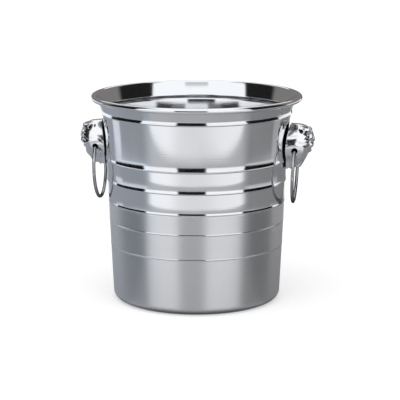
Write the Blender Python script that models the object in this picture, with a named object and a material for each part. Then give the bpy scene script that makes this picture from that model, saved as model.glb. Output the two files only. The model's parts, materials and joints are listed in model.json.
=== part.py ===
"""Ice bucket in stainless steel, with a ring handle hanging from a cast lion head on each side.

Metres, +Z up. The origin is the centre of the face that the bucket rests on.
The handles are on the X axis: the right one at +X, the left one at -X.
"""

import math

import bmesh
import bpy
from mathutils import Matrix

MM = 0.001

# Bucket shell: one drawn sheet with a rolled rim and six beads
SHEET = 0.9 * MM
SEGMENTS = 48
RIM_RADIUS = 110.0 * MM
RIM_HEIGHT = 213.3 * MM
ROLL_RADIUS = 3.0 * MM
ROLL_STEPS = 8
NECK_RADIUS = 99.3 * MM
NECK_TOP = 203.6 * MM
FLARE_MIDDLE = (101.9 * MM, 208.6 * MM)
BEADS = (
    (99.2 * MM, 199.6 * MM),
    (94.7 * MM, 150.6 * MM),
    (93.3 * MM, 128.8 * MM),
    (92.4 * MM, 106.5 * MM),
    (91.6 * MM, 85.3 * MM),
    (90.3 * MM, 59.5 * MM),
)
BEAD_HALF = 1.75 * MM
BEAD_CROWN_HALF = 0.7 * MM
BEAD_HEIGHT = 0.6 * MM
FOOT_RADIUS = 87.9 * MM
CORNER_RADIUS = 9.0 * MM
CORNER_STEPS = 4
REST_INNER_RADIUS = 63.0 * MM
PANEL_RADIUS = 60.5 * MM
PANEL_RISE = 1.5 * MM

# Clearances between neighbouring pieces
GAP = 0.3 * MM

# Cast head: (height, reach from the bucket's axis, half width), bottom to top
HEAD_STATIONS = (
    (141.5 * MM, 105.0 * MM, 13.0 * MM),
    (145.0 * MM, 111.5 * MM, 15.5 * MM),
    (151.0 * MM, 116.6 * MM, 18.3 * MM),
    (158.0 * MM, 120.6 * MM, 19.8 * MM),
    (163.5 * MM, 123.2 * MM, 20.2 * MM),
    (168.5 * MM, 123.8 * MM, 20.4 * MM),
    (176.0 * MM, 121.0 * MM, 20.3 * MM),
    (181.5 * MM, 118.0 * MM, 19.0 * MM),
    (185.0 * MM, 113.0 * MM, 16.0 * MM),
    (187.0 * MM, 104.0 * MM, 9.5 * MM),
)
HEAD_ROOT = 84.0 * MM
HEAD_SQUARENESS = 2.6
HEAD_STEPS = 12
GASKET_THICKNESS = 1.0 * MM
GASKET_INSET = 1.5 * MM

# Ring handle: bent wire whose turned-in ends sit in bores in the sides of the head
WIRE_RADIUS = 1.75 * MM
WIRE_SIDES = 10
PIVOT_REACH = 104.2 * MM
PIVOT_HEIGHT = 160.4 * MM
RING_RADIUS = 31.5 * MM
RING_DROP = 24.0 * MM
RING_STEPS = 36
RING_LEAN = math.radians(2.0)
STUB_END = 13.0 * MM
BEND_RADIUS = 3.0 * MM
BEND_STEPS = 4
BORE_RADIUS = 3.0 * MM
BORE_FLOOR = 12.0 * MM
BORE_LIFT = 0.9 * MM

# Fasteners: two M4 pan head screws for each head, put in from inside the bucket
SCREW_HEIGHTS = {"upper": 178.0 * MM, "lower": 158.0 * MM}
SHANK_RADIUS = 2.0 * MM
SHANK_LENGTH = 16.0 * MM
SCREW_HOLE_RADIUS = 2.35 * MM
SCREW_BORE_DEPTH = 13.0 * MM
PAN_RADIUS = 4.0 * MM
PAN_HEIGHT = 2.4 * MM
WASHER_RADIUS = 4.5 * MM
WASHER_THICKNESS = 0.8 * MM
SEAL_RADIUS = 5.0 * MM
SEAL_THICKNESS = 1.0 * MM
WASHER_SEAT = -1.45 * MM
FASTENER_SIDES = 16

SIDES = {"right": 0.0, "left": math.pi}


def clear_scene():
    for item in list(bpy.data.objects):
        bpy.data.objects.remove(item, do_unlink=True)


def make_material(name, colour, roughness, metallic):
    material = bpy.data.materials.new(name)
    material.use_nodes = True
    shader = material.node_tree.nodes["Principled BSDF"]
    shader.inputs["Base Color"].default_value = (*colour, 1.0)
    shader.inputs["Roughness"].default_value = roughness
    shader.inputs["Metallic"].default_value = metallic
    return material


def add_object(name, bm, material=None, parent=None, smooth=True):
    """Turns a bmesh into a named object with outward faces."""
    bmesh.ops.recalc_face_normals(bm, faces=bm.faces)
    mesh = bpy.data.meshes.new(name)
    bm.to_mesh(mesh)
    bm.free()
    if smooth:
        mesh.shade_smooth()
        mesh.set_sharp_from_angle(angle=math.radians(35))
    if material:
        mesh.materials.append(material)
    item = bpy.data.objects.new(name, mesh)
    bpy.context.collection.objects.link(item)
    item.parent = parent
    return item


def add_empty(name, location, rotation_y=0.0, rotation_z=0.0, parent=None):
    item = bpy.data.objects.new(name, None)
    bpy.context.collection.objects.link(item)
    item.location = location
    item.rotation_euler = (0.0, rotation_y, rotation_z)
    item.parent = parent
    return item


def lathe(profile, segments, phase=0.0):
    """Revolves (radius, height) points about Z. The ends lie on the axis, or else the profile is closed."""
    bm = bmesh.new()
    on_axis = profile[0][0] == 0.0
    rings = []
    for radius, height in profile:
        if radius == 0.0:
            rings.append([bm.verts.new((0.0, 0.0, height))] * segments)
            continue
        angles = [phase + 2 * math.pi * k / segments for k in range(segments)]
        rings.append([bm.verts.new((radius * math.cos(a), radius * math.sin(a), height)) for a in angles])
    pairs = list(zip(rings, rings[1:]))
    if not on_axis:
        pairs.append((rings[-1], rings[0]))
    for lower, upper in pairs:
        for k in range(segments):
            n = (k + 1) % segments
            corners = [lower[k], lower[n], upper[n], upper[k]]
            bm.faces.new(list(dict.fromkeys(corners)))
    return bm


def add_cutter(name, bm, parent=None):
    cutter = add_object(name, bm, parent=parent, smooth=False)
    cutter.hide_render = True
    cutter.display_type = "WIRE"
    return cutter


def boolean(item, cutter, operation="DIFFERENCE"):
    modifier = item.modifiers.new(cutter.name, "BOOLEAN")
    modifier.operation = operation
    modifier.solver = "EXACT"
    modifier.object = cutter


def side_profile(offset):
    """The outer side from the foot to the neck's top, moved out by offset, with its beads."""
    points = [(FOOT_RADIUS + offset, CORNER_RADIUS)]
    for radius, height in reversed(BEADS):
        for along, out in (
            (-BEAD_HALF, 0.0),
            (-BEAD_CROWN_HALF, BEAD_HEIGHT),
            (BEAD_CROWN_HALF, BEAD_HEIGHT),
            (BEAD_HALF, 0.0),
        ):
            points.append((radius + offset + out, height + along))
    points.append((NECK_RADIUS + offset, NECK_TOP))
    return points


def arc(centre, radius, start, end, steps):
    angles = [start + (end - start) * k / steps for k in range(steps + 1)]
    return [(centre[0] + radius * math.cos(a), centre[1] + radius * math.sin(a)) for a in angles]


def bucket_profile():
    """Section of the shell: underside, outer side, rolled rim, inner side and floor."""
    corner_centre = (FOOT_RADIUS - CORNER_RADIUS, CORNER_RADIUS)
    roll_centre = (RIM_RADIUS - ROLL_RADIUS, RIM_HEIGHT)
    points = [(0.0, PANEL_RISE), (PANEL_RADIUS, PANEL_RISE), (REST_INNER_RADIUS, 0.0)]
    points += arc(corner_centre, CORNER_RADIUS, -math.pi / 2, 0.0, CORNER_STEPS)[:-1]
    points += side_profile(0.0)
    points.append(FLARE_MIDDLE)
    points += arc(roll_centre, ROLL_RADIUS, math.radians(-130), math.radians(140), ROLL_STEPS)
    points.append((FLARE_MIDDLE[0] - SHEET, FLARE_MIDDLE[1] + SHEET / 2))
    points += reversed(side_profile(-SHEET))
    points += arc(corner_centre, CORNER_RADIUS - SHEET, 0.0, -math.pi / 2, CORNER_STEPS)[1:]
    points.append((REST_INNER_RADIUS, SHEET))
    points += [(PANEL_RADIUS, PANEL_RISE + SHEET), (0.0, PANEL_RISE + SHEET)]
    return points


def side_solid(offset):
    """A solid of revolution just outside the bucket's side, to trim what is mounted on it."""
    side = side_profile(offset)
    return [(0.0, side[0][1])] + side + [(0.0, side[-1][1])]


def make_bucket(material):
    return add_object("bucket_body", lathe(bucket_profile(), SEGMENTS, math.pi / SEGMENTS), material)


def head_section(reach, half_width):
    """One level of the head, seen from above: a squarish nose pointing out along +X."""
    power = 2.0 / HEAD_SQUARENESS
    points = []
    for k in range(HEAD_STEPS + 1):
        angle = math.pi * k / HEAD_STEPS - math.pi / 2
        along = abs(math.cos(angle)) ** power
        across = math.copysign(abs(math.sin(angle)) ** power, math.sin(angle))
        points.append((HEAD_ROOT + (reach - HEAD_ROOT) * along, half_width * across))
    return points


def loft(levels):
    """Joins levels of equal point count, given as (height, points), and caps both ends."""
    bm = bmesh.new()
    rings = [[bm.verts.new((x, y, height)) for x, y in points] for height, points in levels]
    for lower, upper in zip(rings, rings[1:]):
        for k in range(len(lower)):
            n = (k + 1) % len(lower)
            bm.faces.new((lower[k], lower[n], upper[n], upper[k]))
    bm.faces.new(rings[0])
    bm.faces.new(rings[-1])
    return bm


def make_head(side, base, material):
    levels = [(height, head_section(reach, width)) for height, reach, width in HEAD_STATIONS]
    return add_object(f"lion_head_{side}", loft(levels), material, base)


def make_gasket(side, base, material):
    """A pad that follows the head's outline, a little smaller all round."""
    bottom = HEAD_STATIONS[0][0]
    top = HEAD_STATIONS[-1][0]
    shrink = (top - bottom - 2 * GASKET_INSET) / (top - bottom)
    levels = []
    for height, _, width in HEAD_STATIONS:
        inset_height = bottom + GASKET_INSET + (height - bottom) * shrink
        levels.append((inset_height, head_section(NECK_RADIUS, width - GASKET_INSET)))
    return add_object(f"head_gasket_{side}", loft(levels), material, base)


def cylinder_x(radius, start, end, sides=FASTENER_SIDES):
    """A cylinder along X from start to end."""
    bm = bmesh.new()
    place = Matrix.Translation(((start + end) / 2, 0, 0)) @ Matrix.Rotation(math.pi / 2, 4, "Y")
    bmesh.ops.create_cone(
        bm, cap_ends=True, segments=sides, radius1=radius, radius2=radius, depth=end - start, matrix=place
    )
    return bm


def cylinder_y(radius, start, end, sides=FASTENER_SIDES):
    bm = cylinder_x(radius, start, end, sides)
    bmesh.ops.rotate(bm, verts=bm.verts, matrix=Matrix.Rotation(math.pi / 2, 3, "Z"))
    return bm


def turned_x(profile):
    """Revolves (radius, position along X) points about X."""
    bm = lathe(profile, FASTENER_SIDES)
    bmesh.ops.rotate(bm, verts=bm.verts, matrix=Matrix.Rotation(math.pi / 2, 3, "Y"))
    return bm


def make_screw(name, seat, material):
    under_head = WASHER_SEAT - SEAL_THICKNESS - GAP - WASHER_THICKNESS - GAP
    top = under_head - PAN_HEIGHT
    profile = [
        (0.0, top),
        (0.62 * PAN_RADIUS, top + 0.1 * PAN_HEIGHT),
        (0.92 * PAN_RADIUS, top + 0.45 * PAN_HEIGHT),
        (PAN_RADIUS, under_head),
        (SHANK_RADIUS, under_head),
        (SHANK_RADIUS, under_head + SHANK_LENGTH - SHANK_RADIUS / 2),
        (SHANK_RADIUS / 2, under_head + SHANK_LENGTH),
        (0.0, under_head + SHANK_LENGTH),
    ]
    return add_object(name, turned_x(profile), material, seat)


def make_washer(name, seat, outer, start, thickness, material):
    inner = SCREW_HOLE_RADIUS
    end = start + thickness
    profile = [(inner, start), (outer, start), (outer, end), (inner, end)]
    return add_object(name, turned_x(profile), material, seat)


def bezier(start, control, end, steps):
    """Points of a quadratic curve, ends included."""
    points = []
    for k in range(steps + 1):
        t = k / steps
        weights = ((1 - t) ** 2, 2 * t * (1 - t), t**2)
        points.append(tuple(sum(w * p[i] for w, p in zip(weights, (start, control, end))) for i in (0, 1)))
    return points


def wire_path():
    """Centre line of the ring in its own plane, from one stub's end to the other's.

    Points are (across, height) from the middle of the hinge axis. A stub lies on the axis and
    bends down into the ring.
    """
    knee = math.sqrt(RING_RADIUS**2 - RING_DROP**2)
    first_angle = math.atan2(RING_DROP, knee) - BEND_RADIUS / RING_RADIUS
    ring = arc((0.0, -RING_DROP), RING_RADIUS, first_angle, -math.pi / 2, RING_STEPS // 2)
    half = [(STUB_END, 0.0)] + bezier((knee - BEND_RADIUS, 0.0), (knee, 0.0), ring[0], BEND_STEPS) + ring[1:]
    return half + [(-across, height) for across, height in reversed(half[:-1])]


def sweep_wire(path, radius, sides):
    """A round wire along a path in the YZ plane, with flat ends."""
    bm = bmesh.new()
    rings = []
    for k, (y, z) in enumerate(path):
        before = path[max(k - 1, 0)]
        after = path[min(k + 1, len(path) - 1)]
        length = math.dist(before, after)
        normal = (-(after[1] - before[1]) / length, (after[0] - before[0]) / length)
        ring = []
        for s in range(sides):
            angle = 2 * math.pi * s / sides
            out = radius * math.sin(angle)
            ring.append(bm.verts.new((radius * math.cos(angle), y + normal[0] * out, z + normal[1] * out)))
        rings.append(ring)
    for lower, upper in zip(rings, rings[1:]):
        for s in range(sides):
            n = (s + 1) % sides
            bm.faces.new((lower[s], lower[n], upper[n], upper[s]))
    bm.faces.new(rings[0])
    bm.faces.new(rings[-1])
    return bm


def make_ring(side, base, material):
    """The handle: its origin is on the hinge axis, which runs across through both stubs."""
    ring = add_object(f"ring_handle_{side}", sweep_wire(wire_path(), WIRE_RADIUS, WIRE_SIDES), material, base)
    ring.location = (PIVOT_REACH, 0.0, PIVOT_HEIGHT)
    ring.rotation_euler = (0.0, RING_LEAN, 0.0)
    return ring


def make_bores(side, base, head):
    """Opens a bore in each side of the head for the ring's stubs, which rest low in them."""
    seat = add_empty(f"pivot_{side}", (PIVOT_REACH, 0.0, PIVOT_HEIGHT + BORE_LIFT), parent=base)
    outside = 2.5 * BORE_FLOOR
    for name, start, end in (("near", -outside, -BORE_FLOOR), ("far", BORE_FLOOR, outside)):
        cutter = add_cutter(f"bore_cutter_{side}_{name}", cylinder_y(BORE_RADIUS, start, end), seat)
        boolean(head, cutter)


def wall_radius(height):
    """Radius of the plain wall of the upper band at a height."""
    (top_radius, top), (low_radius, low) = BEADS[0], BEADS[1]
    return low_radius + (top_radius - low_radius) * (height - low) / (top - low)


def make_fasteners(side, base, pierced, steel, rubber):
    """Two screws through the wall and the gasket into the head, each with a washer and a seal."""
    rise = BEADS[0][1] - BEADS[1][1]
    slope = math.atan2(BEADS[0][0] - BEADS[1][0], rise)
    for place, height in SCREW_HEIGHTS.items():
        seat = add_empty(f"seat_{side}_{place}", (wall_radius(height), 0.0, height), slope, parent=base)
        hole = cylinder_x(SCREW_HOLE_RADIUS, WASHER_SEAT * 4, SCREW_BORE_DEPTH)
        cutter = add_cutter(f"hole_cutter_{side}_{place}", hole, seat)
        for item in pierced:
            boolean(item, cutter)
        seal_start = WASHER_SEAT - SEAL_THICKNESS
        washer_start = seal_start - GAP - WASHER_THICKNESS
        make_washer(f"seal_washer_{side}_{place}", seat, SEAL_RADIUS, seal_start, SEAL_THICKNESS, rubber)
        make_washer(f"washer_{side}_{place}", seat, WASHER_RADIUS, washer_start, WASHER_THICKNESS, steel)
        make_screw(f"screw_{side}_{place}", seat, steel)


def main():
    clear_scene()
    satin = make_material("satin_steel", (0.62, 0.63, 0.65), 0.25, 1.0)
    chrome = make_material("chrome", (0.75, 0.76, 0.78), 0.08, 1.0)
    steel = make_material("fastener_steel", (0.55, 0.56, 0.57), 0.3, 1.0)
    rubber = make_material("seal_rubber", (0.05, 0.05, 0.05), 0.7, 0.0)
    bucket = make_bucket(satin)
    phase = math.pi / SEGMENTS
    gasket_back = add_cutter("gasket_back", lathe(side_solid(GAP), SEGMENTS, phase))
    gasket_face = add_cutter("gasket_face", lathe(side_solid(GAP + GASKET_THICKNESS), SEGMENTS, phase))
    head_back = add_cutter("head_back", lathe(side_solid(2 * GAP + GASKET_THICKNESS), SEGMENTS, phase))
    for side, turn in SIDES.items():
        base = add_empty(f"side_{side}", (0.0, 0.0, 0.0), rotation_z=turn)
        head = make_head(side, base, chrome)
        boolean(head, head_back)
        gasket = make_gasket(side, base, rubber)
        boolean(gasket, gasket_face, "INTERSECT")
        boolean(gasket, gasket_back)
        make_bores(side, base, head)
        make_ring(side, base, chrome)
        make_fasteners(side, base, (bucket, gasket, head), steel, rubber)


main()
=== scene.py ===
"""Looks for the ice bucket: the fine meshes, the materials and a pale studio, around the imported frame.

The shapes are written in millimetres and placed in metres. MM comes from the height of the bucket's CAD
solid. Only what the metal reflects sees the laid out studio: the camera and the diffuse light see a plain
pale floor under a white dome.
"""

import json
import math

import bpy
import numpy as np
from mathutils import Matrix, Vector


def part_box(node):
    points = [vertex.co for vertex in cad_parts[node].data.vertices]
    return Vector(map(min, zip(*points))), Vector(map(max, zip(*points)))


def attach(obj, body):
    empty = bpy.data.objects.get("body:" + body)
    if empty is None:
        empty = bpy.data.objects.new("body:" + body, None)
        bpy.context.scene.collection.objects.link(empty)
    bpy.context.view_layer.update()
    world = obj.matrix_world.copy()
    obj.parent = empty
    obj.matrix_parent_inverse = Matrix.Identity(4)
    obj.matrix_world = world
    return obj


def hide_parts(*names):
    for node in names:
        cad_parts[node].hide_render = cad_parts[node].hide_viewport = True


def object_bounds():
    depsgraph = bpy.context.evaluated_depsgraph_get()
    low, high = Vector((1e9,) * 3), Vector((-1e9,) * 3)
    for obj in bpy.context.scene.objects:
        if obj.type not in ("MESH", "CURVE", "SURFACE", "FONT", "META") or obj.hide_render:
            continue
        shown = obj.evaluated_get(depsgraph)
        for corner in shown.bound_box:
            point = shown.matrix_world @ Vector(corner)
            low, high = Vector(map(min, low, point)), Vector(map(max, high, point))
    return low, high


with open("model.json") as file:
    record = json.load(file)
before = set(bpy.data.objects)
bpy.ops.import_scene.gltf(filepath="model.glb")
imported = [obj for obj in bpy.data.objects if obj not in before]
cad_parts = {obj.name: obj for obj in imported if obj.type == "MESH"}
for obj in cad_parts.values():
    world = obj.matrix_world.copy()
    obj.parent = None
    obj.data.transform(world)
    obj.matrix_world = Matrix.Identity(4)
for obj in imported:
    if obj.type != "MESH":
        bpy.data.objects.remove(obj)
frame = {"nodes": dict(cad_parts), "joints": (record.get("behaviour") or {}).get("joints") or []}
CAD_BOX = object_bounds()

BUCKET_LOW, BUCKET_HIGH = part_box("bucket_body")
CAD_HEIGHT = 216.316
MM = (BUCKET_HIGH.z - BUCKET_LOW.z) / CAD_HEIGHT
PIVOTS = {joint["child"]: Vector(joint["pos_m"]) for joint in frame["joints"]}
SIDES = {"right": 0.0, "left": math.pi}

# Bucket shell
SHEET = 0.9
CURL_END = -140.0
FLARE_BELL = 0.2
RIM_RADIUS = 110.0
RIM_HEIGHT = 213.3
ROLL_RADIUS = 3.0
NECK_RADIUS = 99.3
NECK_TOP = 200.9
FOOT_RADIUS = 87.9
CORNER_RADIUS = 9.0
REST_INNER_RADIUS = 63.0
# The raised floor panel, and how its edge and the rest's inner edge are rounded off
PANEL_RADIUS = 60.5
PANEL_RISE = 1.5
PANEL_ROUND = 1.5
REST_ROUND = 1.0
ROUND_DROP = 0.2
# Beads, top to bottom: the wall's radius and the height at the middle of the flank above the crest, the
# flank's width, how far the crest stands out, the height of the cove above the flank, and how far the band
# above sags in
BEADS = (
    (98.75, 199.25, 3.3, 1.1, 0.1, 0.0),
    (94.7, 150.6, 2.6, 0.55, 5.0, 0.85),
    (93.3, 128.8, 2.8, 0.85, 9.0, 0.12),
    (92.4, 106.5, 1.8, 0.62, 9.0, 0.10),
    (91.6, 85.3, 1.0, 0.30, 9.0, 0.0),
    (90.3, 59.5, 1.0, 0.30, 9.0, 0.0),
)
# A bead falls back to the wall over this height below its crest, and the flank
# above ends, and the cove starts, at this share of the crest
BEAD_DROP = 1.0
COVE_SHARE = 0.48
BUCKET_SEGMENTS = 288
CORNER_STEPS = 16
# Spacing of the wall's rings in the plain stretches, in the coves and round the flanks, and the closest
PLAIN_STEP = 3.0
COVE_STEP = 0.8
FLANK_STEP = 0.2
CLOSEST_STEP = 0.15

# Lion head. The wall behind it is read off three heights, and the casting starts a little off that wall
WALL_HEIGHTS = (59.5, 150.6, 199.6)
WALL_RADII = (90.3, 94.7, 99.2)
HEAD_STANDOFF = 1.0
HOOD_CENTRE = (99.0, 0.0, 167.0)
HOOD_RADII = (23.8, 20.8, 20.4)
HOOD_SQUARENESS = 2.8
SKIRT_BOTTOM = 141.9
BORE_REACH = 104.2
BORE_HEIGHT = 161.3
BORE_RADIUS = 3.0
# The box that the head's field is sampled in, the same either side of the middle, and its voxels
HEAD_LOW = (93.5, -22.47, 139.5)
HEAD_HIGH = (126.0, 22.47, 190.0)
HEAD_VOXEL = 0.42
HEAD_PASSES = 3

# Ring handle
WIRE_RADIUS = 1.75
RING_RADIUS = 31.5
RING_DROP = 24.0
RING_LEAN = math.radians(2.0)
STUB_END = 13.0
BEND_RADIUS = 3.0
WIRE_SIDES = 24
WIRE_END_SHARE = 0.8


# ---------------------------------------------------------------- mesh tools


def add_mesh(name, points, faces, material, smooth_angle=40.0):
    """A mesh object from points in millimetres."""
    mesh = bpy.data.meshes.new(name)
    mesh.from_pydata([tuple(p) for p in np.asarray(points, float) * MM], [], faces)
    mesh.validate()
    mesh.shade_smooth()
    mesh.set_sharp_from_angle(angle=math.radians(smooth_angle))
    mesh.materials.append(material)
    item = bpy.data.objects.new(name, mesh)
    bpy.context.scene.collection.objects.link(item)
    return item


def revolve(profile, segments):
    """Points and faces of a profile of (radius, height) turned about Z. Radius 0 makes a pole."""
    points = []
    rings = []
    angles = [2 * math.pi * k / segments for k in range(segments)]
    for radius, height in profile:
        if radius == 0.0:
            rings.append([len(points)] * segments)
            points.append((0.0, 0.0, height))
            continue
        rings.append(list(range(len(points), len(points) + segments)))
        points += [(radius * math.cos(a), radius * math.sin(a), height) for a in angles]
    pairs = list(zip(rings, rings[1:]))
    if profile[0][0] != 0.0:
        pairs.append((rings[-1], rings[0]))
    faces = []
    for lower, upper in pairs:
        for k in range(segments):
            n = (k + 1) % segments
            faces.append(tuple(dict.fromkeys((lower[k], lower[n], upper[n], upper[k]))))
    return points, faces


def arc(centre, radius, start, end, steps):
    """Points on an arc, angles in degrees."""
    angles = np.radians(np.linspace(start, end, steps + 1))
    return [(centre[0] + radius * math.cos(a), centre[1] + radius * math.sin(a)) for a in angles]


def smooth(t):
    """A soft step from 0 to 1."""
    t = min(max(t, 0.0), 1.0)
    return t * t * (3 - 2 * t)


# ---------------------------------------------------------------- bucket shell


def wall_line(height):
    """Radius of the wall without its beads: a cone from bead to bead, sagging in as its band does."""
    stations = [(FOOT_RADIUS, CORNER_RADIUS, 0.0)]
    stations += [(bead[0], bead[1], bead[5]) for bead in reversed(BEADS)]
    stations += [(NECK_RADIUS - COVE_SHARE * BEADS[0][3], NECK_TOP, 0.0)]
    for (radius, low, sag), (next_radius, high, _) in zip(stations, stations[1:]):
        if height <= high:
            t = (height - low) / (high - low)
            return radius + (next_radius - radius) * t - 4 * sag * t * (1 - t)
    return NECK_RADIUS


def bead_rise(height):
    """How far the beads push the wall out: a sharp step below each crest, a flank and a cove above it."""
    rise = 0.0
    for _, middle, flank, crest, cove, _ in BEADS:
        t = height - (middle - flank / 2)
        if -BEAD_DROP < t <= 0.0:
            rise += crest * smooth(1 + t / BEAD_DROP)
        elif 0.0 < t <= flank:
            rise += crest * (1 - (1 - COVE_SHARE) * t / flank)
        elif flank < t < flank + cove:
            rise += crest * COVE_SHARE * (1 - (t - flank) / cove) ** 2
    return rise


def side_heights():
    """Heights for the wall's rings: close together around the beads, wide apart between them."""
    heights = list(np.arange(CORNER_RADIUS, NECK_TOP, PLAIN_STEP))
    for _, middle, flank, _, cove, _ in BEADS:
        heights += list(middle + np.arange(-flank / 2 - 2 * COVE_STEP, flank / 2 + COVE_STEP, FLANK_STEP))
        heights += list(middle + flank / 2 + np.arange(COVE_STEP, cove + 1, COVE_STEP))
    kept = [CORNER_RADIUS]
    for height in sorted(heights):
        if kept[-1] + CLOSEST_STEP < height < NECK_TOP - CLOSEST_STEP:
            kept.append(height)
    return kept


def flare(radius, top):
    """The flared mouth from the neck's corner to the roll, nearly straight, bowed in a little."""
    points = []
    for t in (0.0, 0.04, 0.1, 0.25, 0.4, 0.55, 0.7, 0.85):
        bell = 4 * FLARE_BELL * t * (1 - t)
        points.append((radius + (top[0] - radius) * t - bell, NECK_TOP + (top[1] - NECK_TOP) * t))
    return points


def curl_start():
    """Where the flare runs into the rolled rim, as an angle round the roll: the tangent from the neck."""
    across = RIM_RADIUS - ROLL_RADIUS - (NECK_RADIUS - SHEET)
    up = RIM_HEIGHT - NECK_TOP
    return math.degrees(math.atan2(up, across) + math.asin(ROLL_RADIUS / math.hypot(across, up))) + 90


def base_step(lift):
    """The raised panel and the step down to the rest, from the middle outwards, on one face of the sheet."""
    return [
        (0.0, PANEL_RISE + lift),
        (PANEL_RADIUS - PANEL_ROUND, PANEL_RISE + lift),
        (PANEL_RADIUS, PANEL_RISE + lift - ROUND_DROP),
        (REST_INNER_RADIUS, lift + ROUND_DROP),
        (REST_INNER_RADIUS + REST_ROUND, lift),
    ]


def bucket_profile():
    """Section of the shell, from the middle of its underside, round the rim, to the middle of its floor."""
    corner = (FOOT_RADIUS - CORNER_RADIUS, CORNER_RADIUS)
    roll = (RIM_RADIUS - ROLL_RADIUS, RIM_HEIGHT)
    outer = [(wall_line(h) + bead_rise(h), h) for h in side_heights()]
    inner = [(radius - SHEET, h) for radius, h in outer]
    points = base_step(0.0)
    points += arc(corner, CORNER_RADIUS, -90, 0, CORNER_STEPS)[:-1]
    points += outer
    # The sheet runs straight up the flare, then curls out and under, and its edge stays clear of the flare
    start = curl_start()
    points += flare(NECK_RADIUS, arc(roll, ROLL_RADIUS - SHEET, start, start, 1)[0])
    points += arc(roll, ROLL_RADIUS - SHEET, start, CURL_END, 30)
    points += arc(roll, ROLL_RADIUS, CURL_END, start, 44)
    points += reversed(flare(NECK_RADIUS - SHEET, points[-1]))
    points += reversed(inner)
    points += arc(corner, CORNER_RADIUS - SHEET, 0, -90, CORNER_STEPS)[1:]
    points += reversed(base_step(SHEET))
    return points


def make_bucket(material):
    """The shell, in place of the CAD bucket."""
    points, faces = revolve(bucket_profile(), BUCKET_SEGMENTS)
    shell = add_mesh("bucket_shell", points, faces, material)
    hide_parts("bucket_body")
    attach(shell, "bucket")
    return shell


# ---------------------------------------------------------------- lion head: distance fields

# A field is a function of points (N, 3) in millimetres, in the right head's frame: X out from the
# bucket's axis, Y across, Z up. It is negative inside. Everything is symmetric in Y.


def ellipsoid(p, centre, radii, power=2.0):
    """An ellipsoid, or a rounded box when power is above 2."""
    q = np.abs(p - np.array(centre)) / np.array(radii)
    size = (q**power).sum(1) ** (1 / power)
    reach = np.sqrt(((p - np.array(centre)) ** 2).sum(1))
    return reach * (1 - 1 / np.maximum(size, 0.05))


def capsule(p, start, end, radius_start, radius_end):
    """A rod with round ends that tapers from one radius to the other."""
    a = np.array(start, float)
    b = np.array(end, float)
    along = np.clip(((p - a) @ (b - a)) / ((b - a) @ (b - a)), 0, 1)
    nearest = a + along[:, None] * (b - a)
    radius = radius_start + (radius_end - radius_start) * along
    return np.sqrt(((p - nearest) ** 2).sum(1)) - radius


def tube(p, joints, radii):
    """A tapered tube through several points."""
    pairs = zip(joints, joints[1:], radii, radii[1:])
    return np.min([capsule(p, a, b, ra, rb) for a, b, ra, rb in pairs], axis=0)


def join(a, b, k):
    """Smooth union."""
    h = np.clip(0.5 + 0.5 * (b - a) / k, 0, 1)
    return b + (a - b) * h - k * h * (1 - h)


def carve(a, b, k):
    """Smooth cut of b out of a."""
    return -join(-a, b, k)


def fade(t, low, high):
    """A soft step from 0 at low to 1 at high, for arrays."""
    t = np.clip((t - low) / (high - low), 0, 1)
    return t * t * (3 - 2 * t)


def head_hood(p):
    """The smooth hood of the mane, narrowing to the face, over a skirt that hangs below the bores."""
    x, y, z = p.T
    out, side, up = (np.abs(p - HOOD_CENTRE) / HOOD_RADII).T
    square = (out**HOOD_SQUARENESS + up**HOOD_SQUARENESS) ** (2 / HOOD_SQUARENESS)
    size = np.sqrt(square + side**2.2)
    reach = np.hypot(np.hypot(x - HOOD_CENTRE[0], y), z - HOOD_CENTRE[2])
    hood = reach * (1 - 1 / np.maximum(size, 0.05))
    skirt = np.max([y - (12.6 + 0.24 * (z - 142.0)), SKIRT_BOTTOM - z, z - 166.0, 88.0 - x], axis=0)
    skirt = carve(skirt, -(x - (117.0 - 0.46 * (169.0 - z))) * 0.9, 6.0)
    beard = tube(p, ((115.0, 0, 159.0), (111.5, 0, 151.0), (106.0, 0, 143.5)), (7.0, 6.2, 5.0))
    solid = join(join(hood, skirt, 2.5), np.maximum(beard, SKIRT_BOTTOM - z), 2.5)
    return carve(solid, -(x - (124.0 - 0.54 * (169.0 - z))) * 0.88, 2.0)


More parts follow.
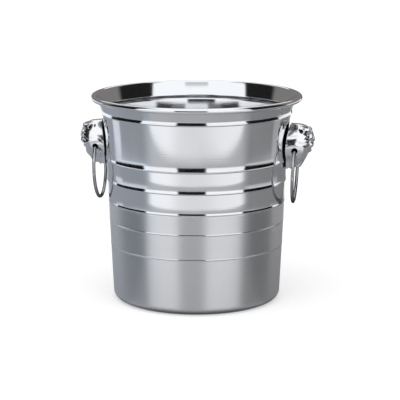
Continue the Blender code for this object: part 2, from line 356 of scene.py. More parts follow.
def head_face(p, solid):
    """Brow, eyes, nose, cheeks, muzzle and jaw, cut back from the hood's outline."""
    # Hollows either side of the nose, and below the cheeks
    solid = carve(solid, ellipsoid(p, (121.5, 9.2, 176.2), (6.5, 5.0, 3.9)), 1.4)
    solid = carve(solid, ellipsoid(p, (124.0, 8.6, 168.6), (6.0, 4.6, 4.6)), 2.0)
    solid = carve(solid, ellipsoid(p, (121.5, 10.6, 158.5), (5.5, 5.5, 5.0)), 3.0)
    # Cheeks and the bridge of the nose, broad at the brow
    solid = join(solid, ellipsoid(p, (112.0, 9.6, 168.2), (6.4, 5.6, 5.2)), 1.5)
    solid = join(solid, capsule(p, (117.6, 0, 180.6), (121.3, 0, 171.5), 3.6, 2.6), 1.0)
    # Muzzle pads, nose and chin
    solid = join(solid, ellipsoid(p, (118.6, 3.5, 165.9), (4.4, 4.0, 3.5)), 0.8)
    solid = join(solid, ellipsoid(p, (121.4, 0, 170.2), (2.5, 3.7, 1.9)), 0.6)
    solid = join(solid, ellipsoid(p, (116.8, 0, 159.8), (4.0, 4.0, 2.9)), 1.0)
    solid = carve(solid, ellipsoid(p, (123.9, 2.0, 169.5), (1.2, 1.0, 0.7)), 0.4)
    solid = carve(solid, capsule(p, (124.2, 0, 168.4), (122.6, 0, 163.6), 0.4, 0.5), 0.5)
    mouth = tube(p, ((123.2, 0, 162.5), (121.0, 4.2, 161.6), (117.2, 7.8, 162.8)), (0.8, 0.9, 0.5))
    solid = carve(solid, mouth, 0.7)
    # Crease from the nose round the muzzle
    crease = tube(p, ((119.6, 6.0, 170.6), (118.6, 7.4, 169.2), (116.4, 8.9, 165.4)), (0.5, 0.8, 0.5))
    solid = carve(solid, crease, 0.6)
    for back, wide, height in ((0.0, 4.4, 167.6), (0.4, 5.6, 166.2), (0.0, 4.0, 164.9)):
        solid = carve(solid, ellipsoid(p, (122.4 - back, wide, height), (0.9, 0.6, 0.6)), 0.4)
    # Eyes between their lids, under a heavy brow
    solid = join(solid, ellipsoid(p, (115.7, 6.9, 176.0), (2.4, 2.7, 2.2)), 0.3)
    solid = carve(solid, ellipsoid(p, (118.1, 7.3, 176.0), (0.8, 0.7, 0.7)), 0.3)
    upper = tube(p, ((118.6, 3.8, 175.9), (117.4, 6.8, 178.3), (113.6, 10.2, 176.6)), (0.6, 0.8, 0.5))
    lower = tube(p, ((118.4, 3.9, 175.2), (117.2, 6.8, 173.6), (113.6, 10.0, 175.4)), (0.45, 0.6, 0.45))
    solid = join(join(solid, upper, 0.4), lower, 0.4)
    brow = tube(p, ((119.4, 2.2, 180.4), (117.4, 7.2, 181.6), (111.6, 12.4, 178.6)), (1.5, 1.9, 1.2))
    solid = join(solid, brow, 1.0)
    wrinkle = tube(p, ((120.2, 0.0, 182.9), (118.0, 5.0, 184.2), (113.0, 10.4, 183.0)), (0.5, 0.6, 0.4))
    solid = carve(solid, wrinkle, 0.8)
    return carve(solid, capsule(p, (121.0, 0, 181.8), (117.0, 0, 185.6), 0.55, 0.4), 0.8)


def head_hair(p, solid):
    """Locks that fan out round the face, strands in the beard, and folds down the skirt."""
    x, y, z = p.T
    from_face = np.hypot(y, 0.95 * (z - 169.0))
    fan = np.arctan2(z - 169.0, y) + 0.05 * (from_face - 12.0)
    locks = np.sqrt(np.abs(np.sin(7.0 * fan))) - 0.7 + 0.25 * np.sin(22.0 * fan)
    mane = fade(from_face, 12.0, 14.5) * fade(x, 107.0, 112.0)
    mane = mane * fade(z, 160.0, 165.0) * fade(-y, -17.0, -13.0)
    wave = np.sin(1.15 * y + 0.5 * np.sin(0.35 * z))
    strands = np.sqrt(np.abs(wave)) - 0.7 + 0.2 * np.sin(4.1 * y + 0.3 * z)
    lowest = 1 - fade(z, 153.0, 158.0)
    beard = lowest * fade(x, 105.0, 109.0)
    folds = np.cos(1.45 * (x - 96.0)) * lowest * fade(y, 8.0, 13.0) * (1 - fade(x, 105.0, 110.0))
    # A raised arch over the bore
    arch = np.hypot(x - BORE_REACH, z - BORE_HEIGHT)
    boss = np.exp(-(((arch - 9.4) / 1.5) ** 2)) * fade(z, 163.0, 167.0) * (1 - fade(x, 108.0, 112.0))
    return solid - 0.6 * mane * locks - 0.7 * beard * strands - 0.55 * folds + 0.16 * boss


def head_field(points):
    """The whole right head. Both halves come from one, by the distance from its middle plane."""
    p = points.copy()
    p[:, 1] = np.abs(p[:, 1])
    x, y, z = p.T
    solid = head_hair(p, head_face(p, head_hood(p)))
    # Small round ears lying in the mane
    solid = join(solid, ellipsoid(p, (107.0, 12.2, 180.2), (2.4, 3.4, 3.3)), 1.4)
    solid = carve(solid, ellipsoid(p, (110.6, 12.4, 180.2), (1.7, 2.2, 2.3)), 1.4)
    # Side bores for the handle, and a back that follows the wall
    bore = np.hypot(x - BORE_REACH, z - BORE_HEIGHT) - BORE_RADIUS
    solid = carve(solid, np.maximum(bore, 12.0 - y), 0.5)
    wall = np.interp(z, WALL_HEIGHTS, WALL_RADII) + HEAD_STANDOFF
    return np.maximum(solid, wall - np.hypot(x, y))


# ---------------------------------------------------------------- lion head: surface


def neighbours(axis, rest):
    """Slices for the grid points with a neighbour along an axis, and for those neighbours."""
    here = [rest] * 3
    there = [rest] * 3
    here[axis] = slice(0, -1)
    there[axis] = slice(1, None)
    return tuple(here), tuple(there)


def cell_points(values, grid, size):
    """A point in each grid cell that the surface crosses, and each cell's number, -1 where it has none."""
    inside = values < 0
    cells = tuple(count - 1 for count in values.shape)
    total = np.zeros(cells + (3,))
    hits = np.zeros(cells)
    for axis in range(3):
        here, there = neighbours(axis, slice(None))
        crossed = inside[here] != inside[there]
        drop = np.where(crossed, values[here] - values[there], 1.0)
        place = grid[here].copy()
        place[..., axis] += np.where(crossed, values[here] / drop, 0.0) * size
        first, second = [i for i in range(3) if i != axis]
        for a, b in ((0, 0), (0, 1), (1, 0), (1, 1)):
            cut = [slice(None)] * 3
            cut[first] = slice(a, crossed.shape[first] - 1 + a)
            cut[second] = slice(b, crossed.shape[second] - 1 + b)
            used = crossed[tuple(cut)]
            total += np.where(used[..., None], place[tuple(cut)], 0.0)
            hits += used
    filled = hits > 0
    number = -np.ones(cells, int)
    number[filled] = np.arange(filled.sum())
    return total[filled] / hits[filled][:, None], number


def cell_quads(values, number):
    """A quad round each grid edge that the surface crosses, from the points of the four cells there."""
    inside = values < 0
    quads = []
    for axis in range(3):
        here, there = neighbours(axis, slice(1, -1))
        first = inside[here]
        index = np.argwhere(first != inside[there])
        u, v = [i for i in range(3) if i != axis]
        corners = []
        for du, dv in ((0, 0), (1, 0), (1, 1), (0, 1)):
            cell = index.copy()
            cell[:, u] += du
            cell[:, v] += dv
            corners.append(number[tuple(cell.T)])
        quad = np.stack(corners, 1)
        flip = first[tuple(index.T)] ^ (axis == 1)
        quad[~flip] = quad[~flip][:, ::-1]
        quads.append(quad)
    return np.concatenate(quads).tolist()


def surface_net(field, low, high, size):
    """A closed quad mesh of the field's zero surface: points from the grid's cells, drawn onto it."""
    counts = [int(math.ceil((h - l) / size)) + 1 for l, h in zip(low, high)]
    axes = [start + size * np.arange(count) for start, count in zip(low, counts)]
    grid = np.stack(np.meshgrid(*axes, indexing="ij"), -1)
    values = field(grid.reshape(-1, 3)).reshape(counts)
    points, number = cell_points(values, grid, size)
    for _ in range(HEAD_PASSES):
        points = points - project(field, points, size)
    return points, cell_quads(values, number)


def project(field, points, size):
    """The step that takes points to the zero surface, no longer than half a voxel."""
    eps = 0.05
    value = field(points)
    slope = np.zeros_like(points)
    for axis in range(3):
        shift = np.zeros(3)
        shift[axis] = eps
        slope[:, axis] = (field(points + shift) - field(points - shift)) / (2 * eps)
    length2 = (slope**2).sum(1) + 1e-6
    move = slope * (value / length2)[:, None]
    size_now = np.sqrt((move**2).sum(1))
    return move * np.minimum(1.0, 0.5 * size / (size_now + 1e-9))[:, None]


def turned(points, angle):
    """Points turned about Z."""
    c, s = math.cos(angle), math.sin(angle)
    return np.asarray(points, float) @ np.array([[c, s, 0], [-s, c, 0], [0, 0, 1]])


def make_heads(material):
    """Both lion heads: the right one, and the same mesh turned half round for the left."""
    points, faces = surface_net(head_field, HEAD_LOW, HEAD_HIGH, HEAD_VOXEL)
    for side, angle in SIDES.items():
        head = add_mesh(f"lion_face_{side}", turned(points, angle), faces, material, 60.0)
        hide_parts(f"lion_head_{side}")
        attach(head, "bucket")


# ---------------------------------------------------------------- ring handles


def wire_path():
    """Centre line of the ring as (across, height) from the hinge axis, from stub end to stub end."""
    knee = math.sqrt(RING_RADIUS**2 - RING_DROP**2)
    first = math.degrees(math.atan2(RING_DROP, knee) - BEND_RADIUS / RING_RADIUS)
    ring = arc((0.0, -RING_DROP), RING_RADIUS, first, -90, 60)
    start = np.array((knee - BEND_RADIUS, 0.0))
    corner = np.array((knee, 0.0))
    end = np.array(ring[0])
    bend = [(1 - t) ** 2 * start + 2 * t * (1 - t) * corner + t**2 * end for t in np.linspace(0, 1, 10)]
    half = [(STUB_END, 0.0), (STUB_END + 0.5, 0.0)] + [tuple(b) for b in bend] + ring[1:]
    return half + [(-across, height) for across, height in reversed(half[:-1])]


def ring_mesh():
    """Points and faces of the wire round its centre line, hinge axis at the origin, leaning as at rest."""
    path = np.array(wire_path())
    along = np.gradient(path, axis=0)
    along /= np.linalg.norm(along, axis=1)[:, None]
    normal = np.stack((-along[:, 1], along[:, 0]), 1)
    radii = np.full(len(path), WIRE_RADIUS)
    radii[0] = radii[-1] = WIRE_RADIUS * WIRE_END_SHARE
    points = []
    for (y, z), (ny, nz), radius in zip(path, normal, radii):
        for side in range(WIRE_SIDES):
            angle = 2 * math.pi * side / WIRE_SIDES
            sine = math.sin(angle)
            points.append((radius * math.cos(angle), y + ny * radius * sine, z + nz * radius * sine))
    faces = []
    for low in range(0, (len(path) - 1) * WIRE_SIDES, WIRE_SIDES):
        high = low + WIRE_SIDES
        for side in range(WIRE_SIDES):
            n = (side + 1) % WIRE_SIDES
            faces.append((low + side, low + n, high + n, high + side))
    faces.append(tuple(range(WIRE_SIDES))[::-1])
    faces.append(tuple(range((len(path) - 1) * WIRE_SIDES, len(path) * WIRE_SIDES)))
    c, s = math.cos(RING_LEAN), math.sin(RING_LEAN)
    return np.asarray(points) @ np.array([[c, 0, -s], [0, 1, 0], [s, 0, c]]), faces


def make_rings(material):
    """Both ring handles, each on its own body and placed at its joint."""
    leaned, faces = ring_mesh()
    for side, angle in SIDES.items():
        pivot = PIVOTS[f"{side}_ring"] / MM
        placed = turned(leaned, angle) + np.array(pivot)
        ring = add_mesh(f"ring_wire_{side}", placed, faces, material)
        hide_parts(f"ring_handle_{side}")
        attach(ring, f"{side}_ring")


# ---------------------------------------------------------------- materials

# How wide a hollow still gets painted shade on the chrome and the steel, in metres
CHROME_HOLLOW = 0.005
STEEL_HOLLOW = 0.015
# The brushed bands' grooves: how far their flanks tilt up, and the share of the surface they take
GROOVE_TILT = 0.21
GROOVE_SHARE = 0.42
SATIN_TOP = 105.0
SATIN_ROUGHNESS = 0.36
POLISHED_ROUGHNESS = 0.075
# A cone between the two faces of the sheet: its radius at the floor and how much it widens with height
MID_WALL = 87.0
WALL_LEAN = 0.0465
# How much closer together the brushed lines lie up the wall than they are long round it
LINE_DENSITY = 900.0
# Colours
BRIGHT_METAL = (0.86, 0.865, 0.88, 1)
GREY_METAL = (0.80, 0.81, 0.83, 1)
# Painted shade for the steel's hollows, under the rolled rim and at the base
STEEL_SHADE = (0.10, 0.10, 0.105, 1)
# Painted shade for the chrome's hollows
CHROME_SHADE = (0.03, 0.03, 0.033, 1)
# Painted shade: the rings' chrome is a darker copy of the castings' chrome in two tones that vary at random,
# it darkens to RING_SHADE where it turns away, and its edge tint darkens its grazing reflections
SHADED_CHROME_DARK_TONE = (0.40, 0.40, 0.41, 1)
SHADED_CHROME_LIGHT_TONE = (0.58, 0.58, 0.60, 1)
RING_SHADE = (0.10, 0.10, 0.11, 1)
RING_EDGE_TINT = (0.4, 0.4, 0.4, 1)
FASTENER_STEEL = (0.62, 0.62, 0.63, 1)
RUBBER_DARK = (0.012, 0.012, 0.013, 1)
RUBBER_PALE = (0.03, 0.03, 0.032, 1)


class Graph:
    """A short way to write a node tree."""

    def __init__(self, tree):
        self.tree = tree
        tree.nodes.clear()

    def add(self, kind, inputs=None, **settings):
        """A new shader node with its settings and its inputs, by name or number."""
        node = self.tree.nodes.new("ShaderNode" + kind)
        for key, value in settings.items():
            setattr(node, key, value)
        for key, value in (inputs or {}).items():
            self.put(node.inputs[key], value)
        return node

    def put(self, socket, value):
        """Give an input a link or a plain value."""
        if isinstance(value, bpy.types.NodeSocket):
            self.tree.links.new(value, socket)
        else:
            socket.default_value = value

    def math(self, operation, a, b=0.0, c=0.0):
        """The result of one sum."""
        return self.add("Math", {0: a, 1: b, 2: c}, operation=operation).outputs[0]

    def blend(self, share, first, second):
        """A colour between two colours."""
        return self.add("MixRGB", {"Fac": share, "Color1": first, "Color2": second}).outputs[0]

    def ramp(self, value, low, high, to_low=0.0, to_high=1.0):
        """Smooth step from low to high."""
        node = self.add(
            "MapRange",
            {"Value": value, "From Min": low, "From Max": high, "To Min": to_low, "To Max": to_high},
            interpolation_type="SMOOTHSTEP",
        )
        return node.outputs["Result"]

    def window(self, value, low, high, edge):
        """1 between low and high, 0 outside, with soft edges."""
        rising = self.ramp(value, low - edge / 2, low + edge / 2)
        falling = self.ramp(value, high - edge / 2, high + edge / 2, 1.0, 0.0)
        return self.math("MULTIPLY", rising, falling)


def new_material(name):
    """An empty node material and the graph to fill it with."""
    material = bpy.data.materials.new(name)
    material.use_nodes = True
    return material, Graph(material.node_tree)


def finish_material(graph, shader):
    """Make a shader node the material's surface."""
    graph.add("OutputMaterial", {"Surface": shader.outputs[0]})


def cylinder_coordinates(graph):
    """Object position, then the angle around Z, the radius and the height, in radians and metres."""
    place = graph.add("TexCoord").outputs["Object"]
    x, y, z = graph.add("SeparateXYZ", {0: place}).outputs
    angle = graph.math("ARCTAN2", y, x)
    squares = graph.math("MULTIPLY", x, x), graph.math("MULTIPLY", y, y)
    radius = graph.math("SQRT", graph.math("ADD", *squares))
    return place, angle, radius, z


def brushed_share(graph, radius, z):
    """1 on the outside of the lower bands, 0 on the beads, on the upper bands and on the inside."""
    satin = graph.ramp(z, SATIN_TOP * MM - 0.002, SATIN_TOP * MM, 1.0, 0.0)
    for _, middle, flank, _, _, _ in BEADS:
        low, high = (middle - flank / 2 - BEAD_DROP) * MM, (middle + flank / 2) * MM
        bead = graph.window(z, low, high, 0.0008)
        satin = graph.math("MULTIPLY", satin, graph.math("SUBTRACT", 1.0, bead))
    outward = graph.math("SUBTRACT", radius, graph.math("MULTIPLY_ADD", z, WALL_LEAN, MID_WALL * MM))
    return graph.math("MULTIPLY", satin, graph.ramp(outward, -0.0002, 0.0001))


def steel_material():
    """Stainless sheet: polished inside, on the beads and the upper bands, brushed on the lower bands, with
    painted shade in its hollows.
    """
    material, g = new_material("bucket_steel")
    place, angle, radius, z = cylinder_coordinates(g)
    dense = g.math("MULTIPLY", z, LINE_DENSITY)
    around = g.add("CombineXYZ", {0: g.math("COSINE", angle), 1: g.math("SINE", angle), 2: dense})
    brushing = {"Vector": around.outputs[0], "Scale": 1.2, "Detail": 4.0, "Roughness": 0.65}
    lines = g.add("TexNoise", brushing).outputs[0]
    blotch = g.add("TexNoise", {"Vector": place, "Scale": 14.0, "Detail": 3.0}).outputs[0]
    satin = brushed_share(g, radius, z)
    rough = g.math("MULTIPLY_ADD", satin, SATIN_ROUGHNESS - POLISHED_ROUGHNESS, POLISHED_ROUGHNESS)
    streaks = g.math("MULTIPLY_ADD", satin, 0.10, 0.03)
    rough = g.math("MULTIPLY_ADD", g.math("SUBTRACT", lines, 0.5), streaks, rough)
    rough = g.math("MULTIPLY_ADD", blotch, 0.02, rough)
    bump = g.add("Bump", {"Strength": 0.05, "Distance": 0.0002, "Height": lines}).outputs[0]
    # Painted shade: the steel's colour turns dark where ambient occlusion finds a hollow, under the roll, by
    # the heads and at the base
    open_sky = g.add("AmbientOcclusion", {"Distance": STEEL_HOLLOW}, samples=6).outputs["AO"]
    tint = g.blend(blotch, GREY_METAL, BRIGHT_METAL)
    finish = {
        "Base Color": g.blend(g.ramp(open_sky, 0.25, 0.70), STEEL_SHADE, tint),
        "Metallic": 1.0,
        "Roughness": rough,
        "Anisotropic": g.math("MULTIPLY_ADD", satin, 0.5, 0.35),
        "Anisotropic Rotation": 0.25,
        "Tangent": g.add("Tangent", direction_type="RADIAL", axis="Z").outputs[0],
        "Normal": bump,
    }
    flat = g.add("BsdfPrincipled", finish)
    # The brushed bands are turned in fine grooves, so part of the light comes off flanks facing a little up
    upward = g.add("VectorMath", {0: bump, 1: (0.0, 0.0, GROOVE_TILT)}, operation="ADD")
    finish["Normal"] = g.add("VectorMath", {0: upward.outputs[0]}, operation="NORMALIZE").outputs[0]
    grooves = g.add("BsdfPrincipled", finish)
    share = g.math("MULTIPLY", satin, GROOVE_SHARE)
    finish_material(g, g.add("MixShader", {0: share, 1: flat.outputs[0], 2: grooves.outputs[0]}))
    return material


def chrome_material():
    """Chrome plate on cast or drawn metal: bright, with a faint ripple, and painted shade in its hollows."""
    material, g = new_material("chrome_plate")
    place = g.add("TexCoord").outputs["Object"]
    ripple = g.add("TexNoise", {"Vector": place, "Scale": 160.0, "Detail": 2.0})
    grain = g.add("TexNoise", {"Vector": place, "Scale": 900.0, "Detail": 2.0})
    # Painted shade: the chrome's colour turns dark where ambient occlusion finds a hollow, such as the eyes,
    # the creases and the bores
    open_sky = g.add("AmbientOcclusion", {"Distance": CHROME_HOLLOW}, samples=8).outputs["AO"]
    unshaded = g.ramp(open_sky, 0.30, 0.72)
    colour = g.blend(unshaded, CHROME_SHADE, BRIGHT_METAL)
    dull = g.math("MULTIPLY_ADD", unshaded, -0.20, 0.33)
    rough = g.math("MULTIPLY_ADD", grain.outputs[0], 0.06, dull)
    bump = g.add("Bump", {"Strength": 0.10, "Distance": 0.0004, "Height": ripple.outputs[0]})
    shader = g.add(
        "BsdfPrincipled",
        {"Base Color": colour, "Metallic": 1.0, "Roughness": rough, "Normal": bump.outputs[0]},
    )
    finish_material(g, shader)
    return material


def ring_material():
    """Chrome plate on drawn wire: greyer than the castings as painted shade, with more painted shade where
    it turns away.
    """
    material, g = new_material("ring_chrome")
    place = g.add("TexCoord").outputs["Object"]
    wear = g.add("TexNoise", {"Vector": place, "Scale": 120.0, "Detail": 3.0})
    colour = g.blend(wear.outputs[0], SHADED_CHROME_DARK_TONE, SHADED_CHROME_LIGHT_TONE)
    # Painted shade: the colour darkens towards RING_SHADE where the wire turns away from the camera
    turning = g.add("LayerWeight", {"Blend": 0.35}).outputs["Facing"]
    grain = g.add("TexNoise", {"Vector": place, "Scale": 900.0, "Detail": 2.0})
    rough = g.math("MULTIPLY_ADD", grain.outputs[0], 0.06, 0.12)
    bump = g.add("Bump", {"Strength": 0.08, "Distance": 0.0002, "Height": wear.outputs[0]})
    finish = {
        "Base Color": g.blend(g.ramp(turning, 0.15, 0.75), colour, RING_SHADE),
        "Metallic": 1.0,
        "Roughness": rough,
        # Painted shade: a dark edge tint darkens the wire's grazing reflections
        "Specular Tint": RING_EDGE_TINT,
        "Normal": bump.outputs[0],
    }
    finish_material(g, g.add("BsdfPrincipled", finish))
    return material


def fastener_material():
    """Plain steel with a fine grain, for the screws and flat washers."""
    material, g = new_material("fastener_steel_fine")
    place = g.add("TexCoord").outputs["Object"]
    grain = g.add("TexNoise", {"Vector": place, "Scale": 1500.0, "Detail": 3.0})
    bump = g.add("Bump", {"Strength": 0.1, "Distance": 0.0001, "Height": grain.outputs[0]})
    rough = g.math("MULTIPLY_ADD", grain.outputs[0], 0.15, 0.2)
    shader = g.add(
        "BsdfPrincipled",
        {"Base Color": FASTENER_STEEL, "Metallic": 1.0, "Roughness": rough, "Normal": bump.outputs[0]},
    )
    finish_material(g, shader)
    return material


def rubber_material():
    """Black rubber, for the seals and gaskets."""
    material, g = new_material("seal_rubber_fine")
    place = g.add("TexCoord").outputs["Object"]
    grain = g.add("TexNoise", {"Vector": place, "Scale": 2500.0, "Detail": 2.0})
    bump = g.add("Bump", {"Strength": 0.3, "Distance": 0.0001, "Height": grain.outputs[0]})
    shade = g.blend(grain.outputs[0], RUBBER_DARK, RUBBER_PALE)
    shader = g.add("BsdfPrincipled", {"Base Color": shade, "Roughness": 0.75, "Normal": bump.outputs[0]})
    finish_material(g, shader)
    return material


# ---------------------------------------------------------------- studio

# The camera, in degrees, metres and shares of the picture's width
VIEW_AZIMUTH = 8.0
CAMERA_DISTANCE = 1.755
CAMERA_HEIGHT = 0.4633
CAMERA_PITCH = 11.6
FOCAL_SHARE = 4.25
SHIFT_X = 0.0085

# What the metal reflects. Angles are in degrees, and azimuth 0 is towards the camera. A pair of numbers says
# where something begins and ends

# The tall light panels either side: the dark gap between them, their outer ends, how far each of those edges
# is turned round, their top, and where they stop towards the back. Beyond a distance the floor shines as
# they do
GAP_HALF = 17.5
GAP_TURN = 6.0
PANEL_END = 64.0
PANEL_TURN = 3.5
PANEL_TOP = 50.0
PANEL_STOP = (85.0, 95.0)
PANEL_DISTANCE = 1.25
PANEL_LIGHT = 1.05
# The lit ceiling, the lit walls over the camera and behind the bucket, and a card that dims the front one
CEILING = (58.0, 63.0)
WALLS_LOW = (23.0, 27.0)
FRONT_WALL = (58.0, 62.0)
BACK_WALL = (146.0, 150.0)
CARD_HALF = 16.0
CARD_HEIGHT = (41.0, 45.5)
CARD_SHADE = 0.45
LIGHT_STRENGTH = 1.12
ROOM_GLOW = 0.012
# A dim warm glow above the horizon behind the bucket
HAZE_SIDE = (106.0, 116.0)
HAZE_STRENGTH = 0.22
COOL_LIGHT = (0.97, 0.985, 1.0, 1)
WARM_LIGHT = (1.0, 0.94, 0.92, 1)
# The lit sheet on the floor before and behind the bucket, in metres: its far edge straight ahead, how much
# nearer that is at its corners, its near edge as a share of the far one, and its light in the middle and at
# its corners
SHEET_REACH = 0.67
SHEET_NARROWING = 0.08
SHEET_START = 0.63
SHEET_FRONT = (52.0, 68.0)
SHEET_BACK = (145.0, 160.0)
SHEET_LIGHT = (0.36, 0.52)
# The rest of the floor: the aisle from the bucket to the sheet, near and far, and the left and right side
AISLE_REACH = (0.14, 0.42)
AISLE_LIGHT = (0.10, 0.20)
SIDE_LIGHT = (0.34, 0.24)
# Brighter strips at the sides, left and right, and a pale band further out
STRIP_SIDE = (104.0, 120.0)
STRIP_REACH = (0.65, 0.77)
STRIP_LIGHT = (0.40, 0.16)
OUTER_REACH = (0.78, 1.2)
OUTER_SIDE = (56.0, 68.0)
OUTER_LIGHT = 0.40
# The floor's light is blue on the left
BLUE_SIDE = (-75.0, -35.0)
FLOOR_COOL = (0.975, 0.98, 1.0, 1)
FLOOR_BLUE = (0.92, 0.99, 1.09, 1)

# The plain floor that the camera sees: its grey, its grain and its lift
FLOOR_GREY = 0.592
FLOOR_GRAIN = 0.015
FLOOR_LIFT = 0.46
FLOOR_REACH = 14.0
FLOOR_THICKNESS = 0.2
FLOOR_SEGMENTS = 96
WHITE = (1, 1, 1, 1)
# The lamp over the bucket, in metres and watts
LAMP_SIZE = 1.6
LAMP_WATTS = 7.0
LAMP_PLACE = (-0.3, -0.5, 2.2)
LAMP_AIM = (0, 0, 0.1)


def studio_angles(graph, vector):
    """A direction's azimuth from the camera's side, and its elevation, in degrees."""
    x, y, z = graph.add("SeparateXYZ", {0: vector}).outputs
    turn = math.radians(VIEW_AZIMUTH)
    c, s = math.cos(turn), math.sin(turn)
    across = graph.math("ADD", graph.math("MULTIPLY", x, c), graph.math("MULTIPLY", y, s))
    toward = graph.math("SUBTRACT", graph.math("MULTIPLY", x, s), graph.math("MULTIPLY", y, c))
    azimuth = graph.math("DEGREES", graph.math("ARCTAN2", across, toward))
    elevation = graph.math("DEGREES", graph.math("ARCSINE", z))
    return azimuth, elevation


def folded(graph, azimuth, turn=0.0):
    """How far an azimuth is from straight ahead or straight behind, with that line turned a little."""
    aside = graph.math("ABSOLUTE", graph.math("ADD", azimuth, turn))
    return graph.math("SUBTRACT", 90.0, graph.math("ABSOLUTE", graph.math("SUBTRACT", aside, 90.0)))


def light_panels(graph, azimuth):
    """1 on the tall panels either side of the line of sight, 0 in the dark gaps between them."""
    inner = graph.ramp(folded(graph, azimuth, GAP_TURN), GAP_HALF - 1.5, GAP_HALF + 1.5)
    outer = graph.ramp(folded(graph, azimuth, PANEL_TURN), PANEL_END - 1.5, PANEL_END + 1.5, 1.0, 0.0)
    return graph.math("MULTIPLY", inner, outer)


def glossy_only(graph, plain, seen):
    """One shader for what the metal reflects, and another for everything else."""
    path = graph.add("LightPath")
    shaders = {0: path.outputs["Is Glossy Ray"], 1: plain.outputs[0], 2: seen.outputs[0]}
    return graph.add("MixShader", shaders).outputs[0]


def studio_lights(graph, azimuth, elevation):
    """Where the panels, the ceiling and the lit walls are: 1 on them and 0 in the dark room."""
    aside = graph.math("ABSOLUTE", azimuth)
    top = graph.ramp(aside, *PANEL_STOP, PANEL_TOP, 0.0)
    below_top = graph.ramp(graph.math("SUBTRACT", top, elevation), -2.0, 2.0)
    boxes = graph.math("MULTIPLY", light_panels(graph, azimuth), below_top)
    overhead = graph.ramp(elevation, *CEILING)
    ahead = graph.math("MAXIMUM", graph.ramp(aside, *FRONT_WALL, 1.0, 0.0), graph.ramp(aside, *BACK_WALL))
    front = graph.math("MULTIPLY", ahead, graph.ramp(elevation, *WALLS_LOW))
    lit = graph.math("MAXIMUM", boxes, graph.math("MAXIMUM", overhead, front))
    in_width = graph.window(azimuth, -CARD_HALF, CARD_HALF, 2.0)
    card = graph.math("MULTIPLY", in_width, graph.window(elevation, *CARD_HEIGHT, 1.5))
    return graph.math("MULTIPLY", lit, graph.math("MULTIPLY_ADD", card, -CARD_SHADE, 1.0))


def make_world():
    """Black room with softboxes for what the metal reflects, and an even white dome for everything else."""
    world = bpy.data.worlds.new("studio")
    bpy.context.scene.world = world
    world.use_nodes = True
    g = Graph(world.node_tree)
    direction = g.add("TexCoord").outputs["Generated"]
    azimuth, elevation = studio_angles(g, direction)
    lit = studio_lights(g, azimuth, elevation)
    sideways = g.ramp(g.math("ABSOLUTE", azimuth), *HAZE_SIDE)
    haze = g.math("MULTIPLY", g.ramp(elevation, -2.0, 2.0), sideways)
    lights = g.math("MULTIPLY_ADD", lit, LIGHT_STRENGTH, ROOM_GLOW)
    glow = g.math("MAXIMUM", lights, g.math("MULTIPLY", haze, HAZE_STRENGTH))
    warm = g.math("MULTIPLY", haze, g.math("SUBTRACT", 1.0, lit))
    studio = g.add("Background", {"Color": g.blend(warm, COOL_LIGHT, WARM_LIGHT), "Strength": glow})
    dome = g.add("Background", {"Color": WHITE, "Strength": 1.0})
    g.add("OutputWorld", {"Surface": glossy_only(g, dome, studio)})


def floor_sheet(graph, away, aside, mirrored):
    """The lit sheet before and behind the bucket, and the dim aisle that leads to it."""
    back = graph.ramp(aside, *SHEET_BACK)
    wedge = graph.math("MAXIMUM", graph.ramp(aside, *SHEET_FRONT, 1.0, 0.0), back)
    bend = graph.math("POWER", graph.math("DIVIDE", mirrored, 50.0), 4.0)
    edge = graph.math("MULTIPLY_ADD", bend, -SHEET_NARROWING, SHEET_REACH)
    sheet = graph.window(graph.math("DIVIDE", away, edge), SHEET_START, 1.0, 0.10)
    bright = graph.ramp(mirrored, 5.0, 35.0, *SHEET_LIGHT)
    lit = graph.math("MULTIPLY", graph.math("MULTIPLY", wedge, sheet), bright)
    aisle = graph.math("MULTIPLY", wedge, graph.ramp(away, *AISLE_REACH, *AISLE_LIGHT))
    return lit, aisle


def floor_strips(graph, azimuth, away, aside, mirrored):
    """The brighter strips at the sides, stronger on the left, and the pale band further out."""
    side = graph.window(aside, *STRIP_SIDE, 4.0)
    strips = graph.math("MULTIPLY", side, graph.window(away, *STRIP_REACH, 0.03))
    strips = graph.math("MULTIPLY", strips, graph.ramp(azimuth, -90.0, 90.0, *STRIP_LIGHT))
    outer = graph.window(away, *OUTER_REACH, 0.12)
    outer = graph.math("MULTIPLY", outer, graph.ramp(mirrored, *OUTER_SIDE))
    return graph.math("MULTIPLY_ADD", outer, OUTER_LIGHT, strips)


def floor_reflection(graph, place):
    """The floor's light as the metal sees it."""
    azimuth, _ = studio_angles(graph, place)
    mirrored = folded(graph, azimuth)
    away = graph.add("VectorMath", {0: place}, operation="LENGTH").outputs["Value"]
    aside = graph.math("ABSOLUTE", azimuth)
    lit, aisle = floor_sheet(graph, away, aside, mirrored)
    near = graph.math("ADD", aisle, graph.ramp(azimuth, -90.0, 90.0, *SIDE_LIGHT))
    panels = graph.math("MULTIPLY", light_panels(graph, azimuth), PANEL_LIGHT)
    far = graph.ramp(away, PANEL_DISTANCE - 0.04, PANEL_DISTANCE + 0.04)
    dim = graph.add("Mix", {0: far, 2: near, 3: panels}, data_type="FLOAT").outputs[0]
    strips = floor_strips(graph, azimuth, away, aside, mirrored)
    cloud = graph.add("TexNoise", {"Vector": place, "Scale": 2.6, "Detail": 1.5})
    uneven = graph.math("MULTIPLY_ADD", cloud.outputs[0], 0.34, 0.83)
    seen = graph.math("ADD", graph.math("ADD", lit, dim), strips)
    tint = graph.blend(graph.ramp(azimuth, *BLUE_SIDE, 1.0, 0.0), FLOOR_COOL, FLOOR_BLUE)
    return graph.add("Emission", {"Color": tint, "Strength": graph.math("MULTIPLY", seen, uneven)})


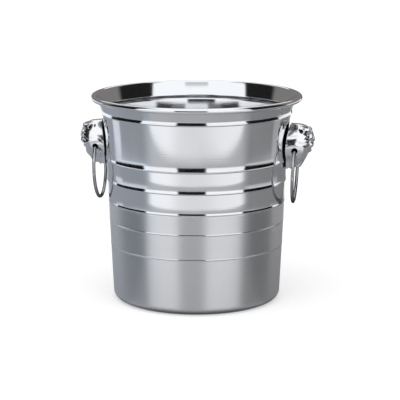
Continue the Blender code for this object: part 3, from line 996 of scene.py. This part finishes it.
def floor_material():
    """Pale floor. In the metal it has a lit sheet before and behind the bucket, and is dim all round."""
    material, g = new_material("pale_floor")
    place = g.add("TexCoord").outputs["Object"]
    grain = g.add("TexNoise", {"Vector": place, "Scale": 60.0, "Detail": 4.0})
    tone = g.math("MULTIPLY_ADD", grain.outputs[0], FLOOR_GRAIN, FLOOR_GREY)
    colour = g.add("CombineXYZ", {0: tone, 1: tone, 2: tone})
    diffuse = g.add("BsdfDiffuse", {"Color": colour.outputs[0], "Roughness": 0.5})
    lift = g.add("Emission", {"Color": WHITE, "Strength": FLOOR_LIFT})
    pale = g.add("AddShader", {0: diffuse.outputs[0], 1: lift.outputs[0]})
    g.add("OutputMaterial", {"Surface": glossy_only(g, pale, floor_reflection(g, place))})
    return material


def make_floor():
    """A wide round floor slab."""
    top = [(reach, 0.0) for reach in (0.0, 0.3, 1.0, 4.0, FLOOR_REACH)]
    profile = top + [(FLOOR_REACH, -FLOOR_THICKNESS), (0.0, -FLOOR_THICKNESS)]
    points, faces = revolve([(r / MM, h / MM) for r, h in profile], FLOOR_SEGMENTS)
    floor = add_mesh("floor", points, faces, floor_material())
    floor.location.z = CAD_BOX[0].z


def make_lights():
    """One broad soft light from above, for a faint shadow on the floor."""
    data = bpy.data.lights.new("overhead", "AREA")
    data.shape = "DISK"
    data.size = LAMP_SIZE
    data.energy = LAMP_WATTS
    light = bpy.data.objects.new("overhead", data)
    bpy.context.scene.collection.objects.link(light)
    light.location = LAMP_PLACE
    light.rotation_euler = (Vector(LAMP_AIM) - light.location).to_track_quat("-Z", "Y").to_euler()
    light.visible_glossy = False


def make_camera():
    """The photograph's camera: level, looking a little down, with its picture shifted sideways."""
    data = bpy.data.cameras.new("camera")
    data.sensor_width = 36.0
    data.lens = FOCAL_SHARE * data.sensor_width
    data.shift_x = SHIFT_X
    data.clip_end = 60.0
    camera = bpy.data.objects.new("camera", data)
    bpy.context.scene.collection.objects.link(camera)
    turn = math.radians(VIEW_AZIMUTH)
    across, back = CAMERA_DISTANCE * math.sin(turn), -CAMERA_DISTANCE * math.cos(turn)
    camera.location = (across, back, CAMERA_HEIGHT)
    camera.rotation_euler = (math.radians(90 - CAMERA_PITCH), 0.0, turn)
    bpy.context.scene.camera = camera


def dress(names, material):
    """Give the CAD pieces whose names begin this way a material."""
    for name, node in frame["nodes"].items():
        if name.startswith(names):
            node.data.materials.clear()
            node.data.materials.append(material)


def main():
    """Build everything in order."""
    steel = steel_material()
    chrome = chrome_material()
    make_bucket(steel)
    make_heads(chrome)
    make_rings(ring_material())
    dress(("screw_", "washer_"), fastener_material())
    dress(("seal_washer_", "head_gasket_"), rubber_material())
    make_world()
    make_floor()
    make_lights()
    make_camera()
    bpy.context.scene.view_settings.view_transform = "Standard"


main()
